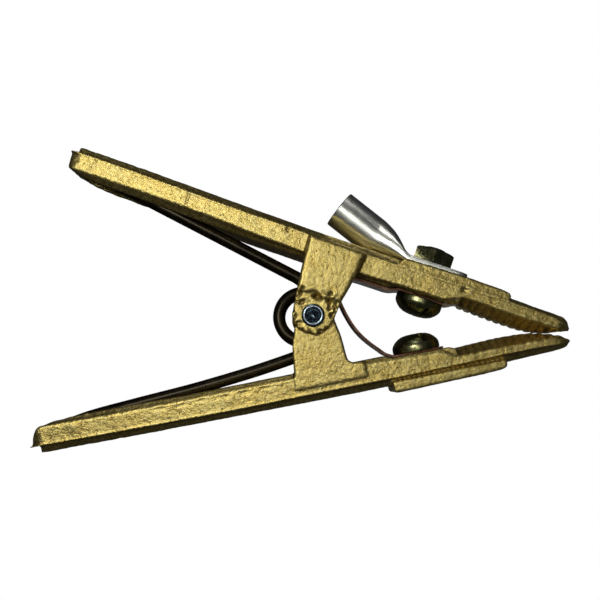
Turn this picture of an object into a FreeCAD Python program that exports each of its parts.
import FreeCAD, Part
import math, os

# Spring ground clamp: two cast arms on one rivet, torsion spring, cable lug,
# lug bolt and nut, shunt strap of three copper leaves and its screw.
# Millimetres.  +X runs toward the jaws along the bisector of the arms, Y along
# the pivot, +Z toward the cable-lug arm.  Everything is built about the pivot
# axis and shifted by PIVOT_X at the end.
#
# Arm frame: both arms, the lug and the fasteners are built in (u, y, w), held in
# the X, Y, Z of the kernel: u along the arm toward the jaw, w outward from the
# pivot line.  place() then swings them to the upper or the lower side.

V = FreeCAD.Vector
os.makedirs("parts", exist_ok=True)

# ------------------------------------------------------------ dimensions ----
UPPER_SIDE, LOWER_SIDE = 1, -1
PIVOT_X = 1.64          # the pivot stands this far in front of the middle of the length
ARM_ANGLE = 15.1        # each arm leaves the bisector by this much, jaws closed

# Arm section: half widths in Y, levels in w
SIDE_Y = 10.3           # side faces of an arm
FLASH_Y = 10.55         # edge of the parting-line flash
FLASH_THICK = 0.36
FLANK_Y = 9.9           # foot of the sloping flanks of plinth and rib
FLANK_RUN = 3.2         # a plinth flank comes in this far
RIB_RUN, RIB_DROP = 2.2, 2.8    # slope of a rib flank, in Y and in w
RIB_W = 17.5            # inner rib flat
TROUGH_Y = 7.45         # spring trough
SLAB_SPLIT_U = 36.0     # the curved handle slab ends here
JAW_SLAB_U = 35.0       # the jaw slab starts here, overlapping it
BAR_START_U, BAR_END_U = -102.0, 84.0   # cross-section bars overrun the arm

# Jaw face and teeth
ROOF_Y, ROOF_W = 9.7, 21.9      # edge of the jaw face
CREST_Y, CREST_W = 3.0, 18.9    # its crest
TOOTH_START_U = 45.3
TOOTH_PITCH = 2.7
TOOTH_COUNT = 13
TOOTH_DEPTH = 0.5
TOOTH_HALF_GAP = 0.55

# Ears, |Y| of their faces
OUTER_EAR_IN, OUTER_EAR_OUT = 10.7, 13.75
INNER_EAR_IN, INNER_EAR_OUT = 7.4, 10.62
INNER_EAR_R = 6.9       # round end of the inner ears
SEAT_Y = 13.2           # recessed rivet seat in the outer ears

# Rivet
RIVET_HOLE_R = 3.05
SHANK_R = 3.0
ROLL_R = 3.85
ROLL_END_Y = 14.6
ROLL_START = 0.5        # the rolled lip starts this far beyond the seat
RIVET_BORE_R = 2.05
RIVET_BORE_DEPTH = 8.0
HEAD_R, HEAD_H = 4.7, 2.1
HEAD_RIM = 0.35         # straight rim under the domed head

# Spring
WIRE_R = 2.1
COIL_R = 8.3
COIL_X, COIL_Z = -3.0, -0.1
COIL_START, COIL_TURN = 38.0, -780.0    # degrees
COIL_STEPS = 44
LEG_Y = 5.1

# Bolt, screw and nut
BOLT_U = 32.6
BOLT_R = 3.98
BOLT_CHAMFER = 0.7
BOLT_END = 0.9          # the bolt stands this far out of the nut
THREAD_R = 4.0
CLEAR_R = 4.25
PAN_R, PAN_H = 8.0, 6.0
SLOT_WIDTH, SLOT_DEPTH = 1.5, 3.1
SCREW_LENGTH = 9.6
HEAD_SPIN = 21          # degrees
NUT_FLATS, NUT_H = 13.0, 4.9
NUT_SPIN = 55.0         # degrees

# Shunt leaves
LEAF_THICK = 0.25
LEAF_COUNT = 3
LEAF_Y = 5.5
STRAP_THICK = LEAF_COUNT * LEAF_THICK
SEAT_START_U, SEAT_END_U = 23.2, 42.3   # spot-faced flat under the screw heads
SCREW_SEAT_W = 18.75
SCREW_HEAD_W = SCREW_SEAT_W - STRAP_THICK

# Cable lug
PALM_THICK = 3.0
PALM_Y = 9.0
PALM_START_U, PALM_END_U = 25.6, 44.6
FLOOR_W = 27.3          # channel floor in the lug boss = plinth level
LUG_R = 13.2 / 2
LUG_BORE_R = 10.2 / 2
LUG_BORE_DEPTH = 15.7
LUG_BARREL = 14.9       # length of the round barrel
LUG_TILT = 19.6
LUG_MOUTH_U, LUG_MOUTH_W = -3.55, 38.5


# --------------------------------------------------------------- helpers ----
def ring(vectors):
    return Part.makePolygon(vectors + [vectors[0]])


def at_y(points, y):
    return [V(u, y, w) for u, w in points]


def prism(points, start_y, end_y):
    """(u, w) outline extruded from start_y to end_y."""
    return Part.Face(ring(at_y(points, start_y))).extrude(V(0, end_y - start_y, 0))


def sym(points, half):
    return prism(points, -half, half)


def bar(half_section, start_u, end_u):
    """Prism along the arm; its (y, w) section is given on +Y and mirrored."""
    section = [(-y, w) for y, w in half_section] + half_section[::-1]
    face = Part.Face(ring([V(start_u, y, w) for y, w in section]))
    return face.extrude(V(end_u - start_u, 0, 0))


def curve(points, y):
    """Smooth edge through (u, w) points."""
    spline = Part.BSplineCurve()
    spline.interpolate(at_y(points, y))
    return spline.toShape()


def line(start, end, y):
    return Part.makeLine(V(start[0], y, start[1]), V(end[0], y, end[1]))


def face_of(edges):
    return Part.Face(Part.Wire(Part.__sortEdges__(edges)))


def strip(outer, inner, half):
    """Prism between two smooth curves, both given in order of rising u."""
    face = face_of([curve(outer, -half), line(outer[-1], inner[-1], -half),
                    curve(inner, -half), line(outer[0], inner[0], -half)])
    return face.extrude(V(0, 2 * half, 0))


def plan(start_u, end_u, half, start_r, end_r):
    """Upright prism whose plan is a bar with rounded corners."""
    base_w, height = 5.0, 40.0
    corners = [     # centre u, centre y, radius, start angle
        (end_u - end_r, half - end_r, end_r, 90),
        (end_u - end_r, -half + end_r, end_r, 0),
        (start_u + start_r, -half + start_r, start_r, 270),
        (start_u + start_r, half - start_r, start_r, 180),
    ]
    arcs = []
    for u, y, radius, angle in corners:
        turns = [math.radians(angle - step) for step in (0, 45, 90)]
        arcs.append([V(u + radius * math.cos(a), y + radius * math.sin(a), base_w)
                     for a in turns])
    edges = [Part.Arc(*arc).toShape() for arc in arcs]
    for arc, following in zip(arcs, arcs[1:] + arcs[:1]):
        edges.append(Part.makeLine(arc[-1], following[0]))
    return face_of(edges).extrude(V(0, 0, height))


def revolve_profile(points):
    """(radius, z) profile revolved about Z."""
    face = Part.Face(ring(at_y(points, 0)))
    return face.revolve(V(0, 0, 0), V(0, 0, 1), 360)


def fuse(shapes):
    joined = shapes[0]
    for shape in shapes[1:]:
        joined = joined.fuse(shape)
    return joined.removeSplitter()


def one_solid(shape):
    return max(shape.Solids, key=lambda solid: solid.Volume)


def soften(shape, pick, radius):
    """Fillet the picked edges, at a smaller radius or not at all if need be."""
    edges = [e for e in shape.Edges if pick(e)]
    if not edges:
        return shape
    for scale in (1.0, 0.6, 0.3):
        # the kernel raises an error where a fillet does not fit
        try:
            rounded = shape.makeFillet(radius * scale, edges)
            if rounded.isValid() and rounded.Volume > 0.5 * shape.Volume:
                return rounded
        except Exception:
            continue
    return shape


def bolt_cylinder(radius, start_w, end_w):
    return Part.makeCylinder(radius, end_w - start_w, V(BOLT_U, 0, start_w), V(0, 0, 1))


def place(shape, side):
    """Swing a shape from the arm frame to the upper or the lower side."""
    placed = shape.copy()
    if side == LOWER_SIDE:
        placed.rotate(V(0, 0, 0), V(1, 0, 0), 180)
    placed.rotate(V(0, 0, 0), V(0, 1, 0), side * ARM_ANGLE)
    return placed


def place_xz(u, w, side):
    """The same swing for a single point."""
    angle = math.radians(ARM_ANGLE)
    return (u * math.cos(angle) + w * math.sin(angle),
            side * (-u * math.sin(angle) + w * math.cos(angle)))


# ------------------------------------------------------ arm outlines (u, w) ----
UPPER = {
    # outer edge of the side slab and flash
    "outer": [(-97.0, 26.25), (-80.0, 26.4), (-60.0, 26.1), (-40.0, 25.65), (-20.0, 25.5),
              (0.0, 25.4), (20.0, 25.4), (40.0, 25.6), (58.0, 25.9), (70.0, 26.0),
              (77.0, 25.4), (83.0, 23.7)],
    # inner edge of the slab along the handle
    "inner": [(-97.0, 20.4), (-78.0, 20.45), (-60.0, 20.4), (-42.0, 19.9), (-28.0, 19.2),
              (-10.0, 18.8), (10.0, 18.2), (24.0, 18.8), (36.0, 19.0)],
    "split_w": 25.55,           # outer edge at SLAB_SPLIT_U
    "setback": 0.0,             # slab edge below the flash face
    # closed outline of the slab at the jaw
    "jaw": [(JAW_SLAB_U, 25.5), (46.0, 25.75), (58.0, 25.9), (70.0, 25.95), (75.0, 25.75),
            (79.3, 25.1), (82.7, 24.4), (81.4, 23.2), (78.0, 22.5), (74.0, 22.1),
            (69.0, 21.75), (58.0, 21.8), (50.0, 21.85), (45.0, 21.7), (42.8, 21.2),
            (40.6, 19.75), (38.6, 19.1), (JAW_SLAB_U, 18.98)],
    "slab_ends": (-95.0, 82.5),     # u of both ends, likewise below
    "flash_ends": (-95.7, 82.8),
    "plinth_ends": (-93.4, 82.0),
    # top of the plinth along the handle
    "plinth": [(-97.0, 28.3), (-92.0, 28.5), (-80.0, 28.55), (-60.0, 28.3), (-40.0, 27.85),
               (-20.0, 27.55), (0.0, 27.35), (10.0, 27.3), (20.0, 27.3)],
    # closed outline of the plinth at the jaw
    "plinth_jaw": [(19.0, 27.3), (58.0, 27.35), (63.0, 27.25), (68.0, 27.05), (75.0, 27.05),
                   (78.6, 26.85), (80.6, 26.1), (81.7, 25.2), (81.9, 24.4), (79.0, 23.0),
                   (75.0, 22.4), (19.0, 22.5)],
    "flank_w": 25.9,            # foot of the plinth flanks
    "flank_rise": 3.2,
    # inner rib on the handle
    "rib": [(-93.0, 22.0), (-92.6, 20.5), (-88.0, 19.35), (-83.0, 18.7), (-76.0, 18.55),
            (-66.0, 18.35), (-55.0, 18.1), (-46.5, 17.9), (-40.0, 17.7), (-30.0, 17.55),
            (-20.0, RIB_W)],
    "rib_flank_w": 20.2,        # foot of the rib flanks
    # raised boss that holds the lug
    "boss": [(21.6, 25.2), (21.6, 26.6), (22.9, 28.35), (36.0, 28.85), (46.0, 29.0),
             (57.2, 28.95), (59.3, 28.5), (60.0, 27.6), (60.0, 25.2)],
    "boss_y": SIDE_Y + 0.05,
    "boss_fillet": 0.5,
    # cut that rakes the end of the handle
    "end_cut": [(-99.0, 26.05), (-95.1, 26.05), (-93.9, 20.2), (-93.4, 18.0), (-99.0, 18.0)],
    "trough": [(-91.0, 15.0), (-91.0, 23.7), (-90.2, 24.6), (-88.6, 24.9), (-76.0, 24.7),
               (-62.0, 22.4), (-49.0, 20.3), (-37.0, 17.45), (-37.0, 15.0)],
}

LOWER = {
    "outer": [(-101.0, 24.5), (-86.0, 24.85), (-68.0, 25.15), (-49.0, 25.4), (-22.0, 25.55),
              (5.0, 25.4), (27.0, 25.4), (48.0, 25.1), (60.0, 24.9), (70.0, 24.8),
              (77.0, 24.9), (83.0, 24.6)],
    "inner": [(-101.0, 18.2), (-86.0, 18.3), (-66.0, 18.8), (-50.0, 18.85), (-30.0, 18.9),
              (-10.0, 18.8), (10.0, 18.6), (24.0, 19.3), (36.0, 19.9)],
    "split_w": 25.3,
    "setback": 0.15,
    "jaw": [(JAW_SLAB_U, 25.3), (46.0, 25.15), (58.0, 24.9), (68.0, 24.7), (78.0, 24.85),
            (83.0, 24.9), (81.9, 23.7), (78.5, 22.9), (75.0, 22.25), (68.0, 22.05),
            (57.0, 21.95), (48.0, 22.25), (43.4, 22.35), (40.4, 20.15), (38.8, 19.8),
            (JAW_SLAB_U, 19.95)],
    "slab_ends": (-98.8, 82.9),
    "flash_ends": (-99.6, 83.1),
    "plinth_ends": (-97.0, 82.4),
    "plinth": [(-101.0, 26.85), (-88.0, 27.05), (-70.0, 27.3), (-50.0, 27.5), (-20.0, 27.65),
               (0.0, 27.75), (10.0, 27.75), (15.0, 27.75), (20.0, 27.75)],
    "plinth_jaw": [(19.0, 27.75), (58.0, 27.6), (63.0, 27.3), (68.0, 27.05), (76.0, 26.8),
                   (79.8, 26.4), (81.6, 25.7), (82.4, 24.9), (81.6, 24.0), (79.0, 23.0),
                   (75.0, 22.4), (19.0, 22.5)],
    "flank_w": 24.1,
    "flank_rise": 4.1,
    "rib": [(-96.0, 20.5), (-95.6, 18.6), (-91.0, 17.55), (-84.0, 16.95), (-74.0, 17.0),
            (-60.0, 17.25), (-46.0, 17.45), (-34.0, 17.5), (-20.0, RIB_W)],
    "rib_flank_w": 18.9,
    # plain pad in place of the lug boss
    "boss": [(21.4, 26.4), (21.6, 29.8), (22.3, 30.25), (36.0, 30.0), (50.0, 29.7),
             (57.4, 29.5), (59.0, 29.1), (59.9, 28.4), (60.0, 26.4)],
    "boss_y": SIDE_Y - 0.15,
    "boss_fillet": 0.6,
    "end_cut": [(-103.0, 24.35), (-98.9, 24.35), (-98.4, 22.4), (-97.3, 20.3), (-96.2, 19.0),
                (-94.8, 18.3), (-92.8, 17.8), (-92.8, 14.0), (-103.0, 14.0)],
    "trough": [(-94.4, 15.0), (-94.4, 21.6), (-93.6, 22.7), (-92.6, 22.95), (-86.0, 22.2),
               (-66.0, 20.5), (-46.0, 19.1), (-34.0, 17.55), (-34.0, 15.0)],
}

# rib toward the jaw, with the lowered flat under the screw; same on both arms
RIB_TAIL = [(20.5, RIB_W), (SEAT_START_U, SCREW_SEAT_W), (SEAT_END_U, SCREW_SEAT_W),
            (44.4, 19.75), (44.5, 22.0)]

# crest line of the jaw face
JAW_CREST = [(43.5, 19.8), (46.0, 19.5), (50.0, 19.25), (54.0, 19.05), (58.0, 18.92),
             (62.0, 18.9), (66.0, 19.0), (69.0, 19.22), (71.5, 19.5), (74.0, 20.12),
             (76.0, 20.72), (78.0, 21.45), (79.8, 22.4), (81.0, 23.4)]

# edge of an outer ear, from the jaw side round the pivot to the handle side
OUTER_EAR = [(9.75, 25.15), (9.2, 18.1), (8.2, 11.5), (7.1, 5.6), (6.85, 0.4), (5.6, -3.6),
             (3.3, -5.7), (0.0, -6.2), (-3.4, -5.75), (-5.7, -4.1), (-6.9, -0.6),
             (-7.6, 4.2), (-8.3, 9.5), (-9.0, 15.5), (-9.75, 25.15)]
OUTER_EAR_SEAT = [(-12, 5.4), (-7.8, 5.6), (-6.6, 6.6), (-4.4, 7.0), (-1.9, 8.3), (-0.4, 7.6),
                  (0.9, 6.4), (2.6, 6.9), (4.4, 8.0), (6.0, 7.4), (12, 7.4), (12, -12),
                  (-12, -12)]
OUTER_EAR_ROOT = [(-9.6, 25.1), (-9.2, 19.2), (9.1, 18.9), (9.6, 25.1)]

# inner ear, straight edges on the handle side and on the jaw side of its round end
INNER_EAR_HANDLE = [(-10.2, 22.8), (-9.3, 13.5), (-8.7, 9.1)]
INNER_EAR_JAW = [(7.7, 7.4), (8.15, 12.5), (8.35, 15.6), (8.8, 16.9), (10.4, 17.6),
                 (13.5, 17.9), (13.5, 22.8)]
INNER_EAR_ARC = (163, 268.5, 374)       # start, middle and end, degrees


# ------------------------------------------------------------------ arms ----
def side_slab(form):
    """Core of the arm: curved handle part and polygonal jaw part."""
    setback = form["setback"]
    edge = [p for p in form["outer"] if p[0] <= 20.0] + [(SLAB_SPLIT_U, form["split_w"])]
    handle = strip([(u, w - setback) for u, w in edge], form["inner"], SIDE_Y)
    # only the outer edge of the jaw outline, above this level, is set back
    jaw = sym([(u, w - setback if w > 24.0 else w) for u, w in form["jaw"]], SIDE_Y)
    return fuse([handle, jaw]).common(plan(*form["slab_ends"], SIDE_Y, 4.5, 5.6))


def parting_flash(form):
    inner = [(u, w - FLASH_THICK) for u, w in form["outer"]]
    flash = strip(form["outer"], inner, FLASH_Y)
    return flash.common(plan(*form["flash_ends"], FLASH_Y, 3.6, 5.6))


def outer_plinth(form):
    """Handle part and jaw part, both trimmed to the sloping flanks."""
    handle = strip(form["plinth"], [(u, 22.5) for u, w in form["plinth"]], FLANK_Y)
    jaw = sym(form["plinth_jaw"], FLANK_Y)
    foot = form["flank_w"]
    flanks = bar([(FLANK_Y, 15.0), (FLANK_Y, foot),
                  (FLANK_Y - FLANK_RUN, foot + form["flank_rise"])], BAR_START_U, BAR_END_U)
    envelope = flanks.common(plan(*form["plinth_ends"], FLANK_Y, 6.0, 5.2))
    return [envelope.common(handle), envelope.common(jaw)]


def inner_rib(form):
    foot = form["rib_flank_w"]
    rib = sym(form["rib"] + RIB_TAIL, FLANK_Y)
    return rib.common(bar([(FLANK_Y, 26.0), (FLANK_Y, foot),
                           (FLANK_Y - RIB_RUN, foot - RIB_DROP), (FLANK_Y - RIB_RUN, 10.0)],
                          BAR_START_U, BAR_END_U))


def jaw_face():
    """A low roof across the arm, crest along the middle."""
    outline = [(41.5, 22.5), (41.5, 20.2)] + JAW_CREST + [(82.1, 24.6), (78.0, 25.4)]
    face = sym(outline, ROOF_Y).common(plan(30.0, 82.2, ROOF_Y, 1.0, 5.4))
    return face.common(bar([(ROOF_Y, 26.0), (ROOF_Y, ROOF_W), (CREST_Y, CREST_W)],
                           30.0, BAR_END_U))


def crest_w(u):
    for (start_u, start_w), (end_u, end_w) in zip(JAW_CREST[:-1], JAW_CREST[1:]):
        if start_u <= u <= end_u:
            return start_w + (end_w - start_w) * (u - start_u) / (end_u - start_u)


def tooth_gaps():
    gaps = []
    for k in range(TOOTH_COUNT):
        u = TOOTH_START_U + k * TOOTH_PITCH
        edge_w = ROOF_W + 0.3
        section = [(ROOF_Y, 14.0), (ROOF_Y, edge_w), (CREST_Y, crest_w(u) + TOOTH_DEPTH)]
        gaps.append(bar(section, u - TOOTH_HALF_GAP, u + TOOTH_HALF_GAP))
    return Part.makeCompound(gaps)


def boss(form):
    block = sym(form["boss"], form["boss_y"])
    return soften(block, lambda e: e.BoundBox.ZMin > 28.0 and e.BoundBox.XLength > 6,
                  form["boss_fillet"])


def arm_body(form):
    """An arm without its ears and bolt hole."""
    body = fuse([side_slab(form), parting_flash(form)] + outer_plinth(form)
                + [inner_rib(form), jaw_face(), boss(form)])
    body = body.cut(sym(form["end_cut"], 12.0))
    trough = form["trough"]
    body = body.cut(sym(trough, TROUGH_Y).common(
        plan(trough[0][0], trough[-1][0] + 3.0, TROUGH_Y, 2.0, 0.5)))
    # spot-faced flat under the screw
    body = body.cut(sym([(SEAT_START_U, 12.0), (SEAT_START_U, SCREW_SEAT_W),
                         (SEAT_END_U, SCREW_SEAT_W), (SEAT_END_U, 12.0)], SIDE_Y + 1.0))
    return body.cut(tooth_gaps())


def outer_ear():
    edges = [curve(OUTER_EAR, OUTER_EAR_IN), line(OUTER_EAR[-1], OUTER_EAR[0], OUTER_EAR_IN)]
    ear = face_of(edges).extrude(V(0, OUTER_EAR_OUT - OUTER_EAR_IN, 0))
    ear = soften(ear, lambda e: e.BoundBox.YMin > OUTER_EAR_OUT - 0.01, 1.1)
    ear = ear.cut(prism(OUTER_EAR_SEAT, SEAT_Y, 16.0))
    return fuse([ear, prism(OUTER_EAR_ROOT, 9.6, OUTER_EAR_IN + 0.3)])


def inner_ear():
    arc = at_y([(INNER_EAR_R * math.cos(math.radians(a)), INNER_EAR_R * math.sin(math.radians(a)))
                for a in INNER_EAR_ARC], INNER_EAR_IN)
    handle_edge = Part.makePolygon(at_y(INNER_EAR_HANDLE, INNER_EAR_IN) + [arc[0]])
    jaw_edge = Part.makePolygon([arc[-1]] + at_y(INNER_EAR_JAW, INNER_EAR_IN))
    closing = line(INNER_EAR_JAW[-1], INNER_EAR_HANDLE[0], INNER_EAR_IN)
    face = face_of(handle_edge.Edges + [Part.Arc(*arc).toShape()] + jaw_edge.Edges + [closing])
    return face.extrude(V(0, INNER_EAR_OUT - INNER_EAR_IN, 0))


def add_ears(body, ear):
    """Join an ear and its mirror image, then bore both for the rivet."""
    body = fuse([body, ear, ear.mirror(V(0, 0, 0), V(0, 1, 0))])
    body = body.cut(Part.makeCylinder(RIVET_HOLE_R, 40, V(0, -20, 0), V(0, 1, 0)))
    return one_solid(body.removeSplitter())


def upper_arm():
    body = arm_body(UPPER)
    # channel for the palm of the lug, then the clearance hole
    body = body.cut(sym([(15.0, 33.0), (15.0, FLOOR_W), (45.6, FLOOR_W), (45.6, 33.0)],
                        PALM_Y + 0.15))
    body = body.cut(bolt_cylinder(CLEAR_R, 14.0, 32.0))
    return add_ears(body, outer_ear())


def lower_arm():
    # blind hole for the shunt screw
    hole = bolt_cylinder(THREAD_R, SCREW_SEAT_W - 3.0, SCREW_SEAT_W + 9.2)
    return add_ears(arm_body(LOWER).cut(hole), inner_ear())


# ------------------------------------------------------------- fasteners ----
def pan_head(shank_length):
    """Head below z = 0, shank up to shank_length, two crossing slots."""
    profile = [     # radius, z
        (0.0, -PAN_H), (2.4, -PAN_H + 0.10), (4.2, -PAN_H + 0.42), (5.6, -PAN_H + 1.05),
        (6.7, -PAN_H + 1.95), (7.5, -PAN_H + 2.9), (7.9, -PAN_H + 3.7), (PAN_R, -1.6),
        (PAN_R, -0.35), (PAN_R - 0.35, 0.0), (BOLT_R, 0.0),
        (BOLT_R, shank_length - BOLT_CHAMFER), (BOLT_R - BOLT_CHAMFER, shank_length),
        (0.0, shank_length)]
    screw = revolve_profile(profile)
    reach = PAN_R + 1
    slot_x = Part.makeBox(2 * reach, SLOT_WIDTH, SLOT_DEPTH + 1,
                          V(-reach, -SLOT_WIDTH / 2, -PAN_H - 1))
    slot_y = Part.makeBox(SLOT_WIDTH, 2 * reach, SLOT_DEPTH + 1,
                          V(-SLOT_WIDTH / 2, -reach, -PAN_H - 1))
    return one_solid(screw.cut(slot_x.fuse(slot_y)))


def seat_on_arm(shape, spin, base_w, side):
    """Turn a fastener on its axis, move it to the bolt line and place it."""
    shape.rotate(V(0, 0, 0), V(0, 0, 1), spin)
    shape.translate(V(BOLT_U, 0, base_w))
    return place(shape, side)


def lug_bolt():
    length = FLOOR_W + PALM_THICK + NUT_H + BOLT_END - SCREW_HEAD_W
    return seat_on_arm(pan_head(length), HEAD_SPIN, SCREW_HEAD_W, UPPER_SIDE)


def shunt_screw():
    return seat_on_arm(pan_head(SCREW_LENGTH), -HEAD_SPIN, SCREW_HEAD_W, LOWER_SIDE)


def lug_nut():
    """Hexagon with its corners bevelled by a turned envelope."""
    corner_r = NUT_FLATS / math.sqrt(3)
    angles = [math.radians(60 * k + 30) for k in range(6)]
    corners = [V(corner_r * math.cos(a), corner_r * math.sin(a), 0) for a in angles]
    nut = Part.Face(ring(corners)).extrude(V(0, 0, NUT_H))
    nut = nut.common(revolve_profile([
        (0, 0), (corner_r - 0.9, 0), (corner_r + 0.12, 0.5), (corner_r + 0.12, NUT_H - 0.6),
        (corner_r - 1.0, NUT_H), (0, NUT_H)]))
    nut = nut.cut(Part.makeCylinder(THREAD_R, NUT_H + 2, V(0, 0, -1), V(0, 0, 1)))
    return seat_on_arm(one_solid(nut), NUT_SPIN, FLOOR_W + PALM_THICK, UPPER_SIDE)


def pivot_rivet():
    """Revolved about Z, then laid along Y: rolled end toward -Y, head toward +Y."""
    bore_end = -ROLL_END_Y + RIVET_BORE_DEPTH
    profile = [(0.0, bore_end), (RIVET_BORE_R * 0.5, bore_end - 0.5),
               (RIVET_BORE_R, bore_end - 1.3), (RIVET_BORE_R, -ROLL_END_Y + 1.2)]
    # rolled lip: half ellipse from the bore over the end to the outside
    lip_middle = (RIVET_BORE_R + ROLL_R) / 2
    lip_half = (ROLL_R - RIVET_BORE_R) / 2
    lip_z = -SEAT_Y - ROLL_START
    for k in range(11):
        angle = math.radians(180.0 * k / 10)
        profile.append((lip_middle - lip_half * math.cos(angle),
                        lip_z - (lip_z + ROLL_END_Y) * math.sin(angle)))
    profile += [(ROLL_R, -SEAT_Y), (SHANK_R, -SEAT_Y), (SHANK_R, SEAT_Y), (HEAD_R, SEAT_Y)]
    for k in range(8):
        angle = math.radians(90.0 * k / 8)
        profile.append((HEAD_R * math.cos(angle),
                        SEAT_Y + HEAD_RIM + (HEAD_H - HEAD_RIM) * math.sin(angle)))
    profile.append((0.0, SEAT_Y + HEAD_H))
    rivet = revolve_profile(profile)
    rivet.rotate(V(0, 0, 0), V(1, 0, 0), -90)
    return one_solid(rivet)


# ------------------------------------------------------------- cable lug ----
def superellipse(top, bottom, half_width, power, count=36):
    """Closed section standing between two points of the middle plane."""
    centre = (top + bottom) * 0.5
    upright = top - bottom
    half_height = upright.Length / 2
    upright.normalize()
    points = []
    for k in range(count):
        angle = 2 * math.pi * (k + 0.5) / count
        across, up = [math.copysign(abs(c) ** (2.0 / power), c)
                      for c in (math.cos(angle), math.sin(angle))]
        points.append(centre + V(0, 1, 0) * (half_width * across)
                      + upright * (half_height * up))
    return ring(points)


def cable_lug():
    tilt = math.radians(LUG_TILT)
    axis = V(math.cos(tilt), 0, -math.sin(tilt))
    normal = V(math.sin(tilt), 0, math.cos(tilt))
    mouth = V(LUG_MOUTH_U, 0, LUG_MOUTH_W)
    barrel = Part.makeCylinder(LUG_R, LUG_BARREL, mouth, axis)

    # The transition from barrel to palm dips a little under the seating plane
    # and is trimmed flat afterwards.
    low_w = FLOOR_W - 0.2
    palm_top = FLOOR_W + PALM_THICK
    sections = []
    for setback, radius in ((1.6, LUG_R - 0.12), (0.2, LUG_R + 0.04)):
        centre = mouth + axis * (LUG_BARREL - setback)
        sections.append(superellipse(centre + normal * radius, centre - normal * radius,
                                     radius, 2.0))
    stations = [    # top u, top w, bottom u, half width, superellipse power
        (15.6, 38.25, 11.6, 7.1, 2.15),
        (18.1, 36.5, 15.6, 7.7, 2.4),
        (20.4, 34.1, 19.3, 8.3, 2.9),
        (22.2, 31.8, 22.0, 8.75, 3.8),
        (24.1, palm_top + 0.1, 24.1, 8.95, 6.0),
        (26.1, palm_top - 0.2, 26.1, 8.85, 9.0),
    ]
    for top_u, top_w, bottom_u, half_width, power in stations:
        sections.append(superellipse(V(top_u, 0, top_w), V(bottom_u, 0, low_w),
                                     half_width, power))
    transition = Part.makeLoft(sections, True, True)

    palm_height = PALM_THICK + 0.2
    palm = Part.makeBox(PALM_END_U - PALM_START_U, 2 * PALM_Y, palm_height,
                        V(PALM_START_U, -PALM_Y, low_w))
    # round the two upright corners at the jaw end
    palm = soften(palm, lambda e: (abs(e.BoundBox.ZLength - palm_height) < 1e-6
                                   and e.BoundBox.XMin > 40), 2.5)
    lug = transition.fuse(barrel).fuse(palm)
    lug = lug.cut(Part.makeBox(80, 40, 10, V(-20, -20, FLOOR_W - 10)))
    bore = Part.makeCylinder(LUG_BORE_R, LUG_BORE_DEPTH + 0.5, mouth - axis * 0.5, axis)
    tip = Part.makeCone(LUG_BORE_R, 0.6, 4.2, mouth + axis * LUG_BORE_DEPTH, axis)
    lug = lug.cut(bore.fuse(tip))
    return one_solid(lug.cut(bolt_cylinder(CLEAR_R, 20.0, 36.0)))


# ---------------------------------------------------------------- spring ----
# centre lines of the legs in (u, w): the upper from its tip, the lower to its tip
UPPER_LEG = [(-88.0, 22.46), (-70.0, 19.78), (-50.0, 16.80), (-35.0, 14.57), (-26.5, 13.3),
             (-20.0, 12.33), (-15.0, 11.58), (-11.5, 11.05), (-8.6, 10.55)]
LOWER_LEG = [(-3.9, 11.0), (-6.8, 11.75), (-10.5, 12.35), (-14.7, 12.95), (-23.1, 14.05),
             (-44.0, 16.0), (-64.7, 17.2), (-82.0, 18.45), (-91.8, 20.1)]


def leg_points(leg, y, side):
    return [V(x, y, z) for x, z in (place_xz(u, w, side) for u, w in leg)]


def coil_points():
    """Helix, clockwise seen from -Y; it keeps its Y for a little at both ends."""
    points = []
    for k in range(COIL_STEPS + 1):
        turned = k / COIL_STEPS
        angle = math.radians(COIL_START + COIL_TURN * turned)
        advance = min(max((turned - 0.04) / 0.92, 0.0), 1.0)
        points.append(V(COIL_X + COIL_R * math.cos(angle), -LEG_Y + 2 * LEG_Y * advance,
                        COIL_Z + COIL_R * math.sin(angle)))
    return points


def torsion_spring():
    points = (leg_points(UPPER_LEG, -LEG_Y, UPPER_SIDE) + coil_points()
              + leg_points(LOWER_LEG, LEG_Y, LOWER_SIDE))
    path = Part.BSplineCurve()
    path.interpolate(points)
    knots = [path.parameter(point) for point in points]
    knots[0], knots[-1] = path.FirstParameter, path.LastParameter
    # one section at each point, and one between in the last spans of both ends
    stations = []
    for k in range(len(knots) - 1):
        stations.append(knots[k])
        if k < 4 or k >= len(knots) - 5:
            stations.append(0.5 * (knots[k] + knots[k + 1]))
    stations.append(knots[-1])
    # round sections carried along the path without twisting
    across = V(0, 1, 0)
    wires = []
    for station in stations:
        centre = path.value(station)
        along = path.tangent(station)[0]
        across = across - along * across.dot(along)
        across.normalize()
        other = along.cross(across)
        rim = [centre + across * (WIRE_R * math.cos(a)) + other * (WIRE_R * math.sin(a))
               for a in (0, math.pi / 2, math.pi, 1.5 * math.pi)]
        wires.append(Part.Wire([Part.Arc(rim[0], rim[1], rim[2]).toShape(),
                                Part.Arc(rim[2], rim[3], rim[0]).toShape()]))
    return one_solid(Part.makeLoft(wires, True, True))


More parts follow.
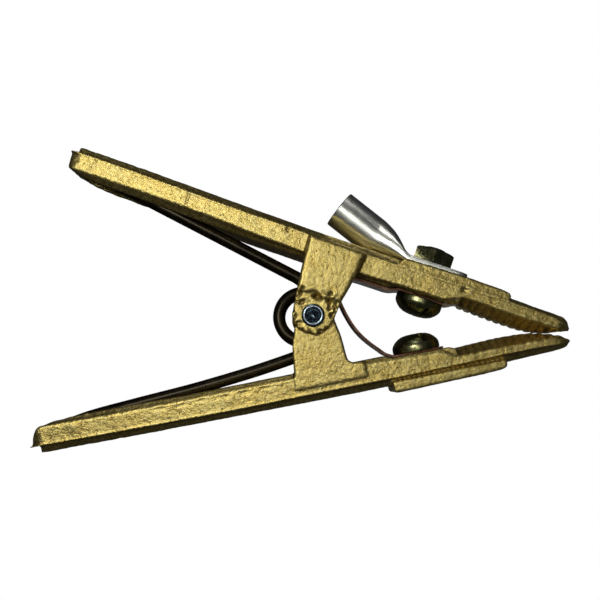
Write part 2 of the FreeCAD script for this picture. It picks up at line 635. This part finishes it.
# ---------------------------------------------------------------- leaves ----
def strap_line():
    """Middle line of the stack in (x, z), rounded by cutting corners."""
    flat_w = SCREW_SEAT_W - STRAP_THICK / 2         # on the spot-faced flats
    rib_w = RIB_W - STRAP_THICK / 2 - 0.12          # clear of the ribs
    upper = [(40.2, flat_w), (25.2, flat_w), (24.4, flat_w), (21.5, rib_w), (17.0, rib_w)]
    bend = [(11.0, 14.5), (8.0, 12.6), (7.75, 8.6), (9.3, 4.8), (11.6, 0.95), (14.06, -2.5),
            (17.0, -5.4), (20.2, -7.75), (23.2, -9.5)]
    lower = [(21.5, rib_w), (24.4, flat_w), (25.2, flat_w), (40.9, flat_w)]
    path = ([place_xz(u, w, UPPER_SIDE) for u, w in upper] + bend
            + [place_xz(u, w, LOWER_SIDE) for u, w in lower])
    for _ in range(3):
        cut = [path[0]]
        for (x0, z0), (x1, z1) in zip(path[:-1], path[1:]):
            cut.append((0.75 * x0 + 0.25 * x1, 0.75 * z0 + 0.25 * z1))
            cut.append((0.25 * x0 + 0.75 * x1, 0.25 * z0 + 0.75 * z1))
        cut.append(path[-1])
        path = cut
    # drop the points that lie on a straight run
    kept = [path[0]]
    for (x1, z1), (x2, z2) in zip(path[1:-1], path[2:]):
        x0, z0 = kept[-1]
        if abs((x1 - x0) * (z2 - z1) - (z1 - z0) * (x2 - x1)) > 1e-7:
            kept.append((x1, z1))
    kept.append(path[-1])
    return kept


def with_normals(path):
    """(x, z, normal x, normal z) with normals on the left, mitred at the corners."""
    directions = []
    for (x0, z0), (x1, z1) in zip(path[:-1], path[1:]):
        length = math.hypot(x1 - x0, z1 - z0)
        directions.append(((x1 - x0) / length, (z1 - z0) / length))
    rows = []
    for i, (x, z) in enumerate(path):
        near = directions[max(i - 1, 0):i + 1]
        normal_x = sum(-d[1] for d in near) / len(near)
        normal_z = sum(d[0] for d in near) / len(near)
        square = normal_x * normal_x + normal_z * normal_z
        rows.append((x, z, normal_x / square, normal_z / square))
    return rows


def shunt_leaves():
    """Stacked leaves, outermost first, from under the upper bolt head, round the
    jaw side of the coil, to under the lower screw head."""
    # the normals point into the C of the strap, toward the heads
    rows = with_normals(strap_line())
    holes = [place(bolt_cylinder(CLEAR_R, 14.0, 24.0), side)
             for side in (UPPER_SIDE, LOWER_SIDE)]

    def face_line(offset):
        return [(x + nx * offset, z + nz * offset) for x, z, nx, nz in rows]

    leaves = []
    for k in range(LEAF_COUNT):
        outer = face_line(-STRAP_THICK / 2 + k * LEAF_THICK)
        inner = face_line(-STRAP_THICK / 2 + (k + 1) * LEAF_THICK)
        leaf = sym(outer + inner[::-1], LEAF_Y)
        leaves.append(one_solid(leaf.cut(holes[0]).cut(holes[1])))
    return leaves


# ----------------------------------------------------------------- build ----
pieces = {
    "upper_arm": place(upper_arm(), UPPER_SIDE),
    "lower_arm": place(lower_arm(), LOWER_SIDE),
    "pivot_rivet": pivot_rivet(),
    "torsion_spring": torsion_spring(),
    "cable_lug": place(cable_lug(), UPPER_SIDE),
    "lug_bolt": lug_bolt(),
    "lug_nut": lug_nut(),
    "shunt_screw": shunt_screw(),
}
for layer, leaf in zip(("outer", "middle", "inner"), shunt_leaves()):
    pieces["shunt_leaf_" + layer] = leaf

for name, shape in pieces.items():
    shape.translate(V(PIVOT_X, 0, 0))
    shape.exportStep("parts/%s.step" % name)
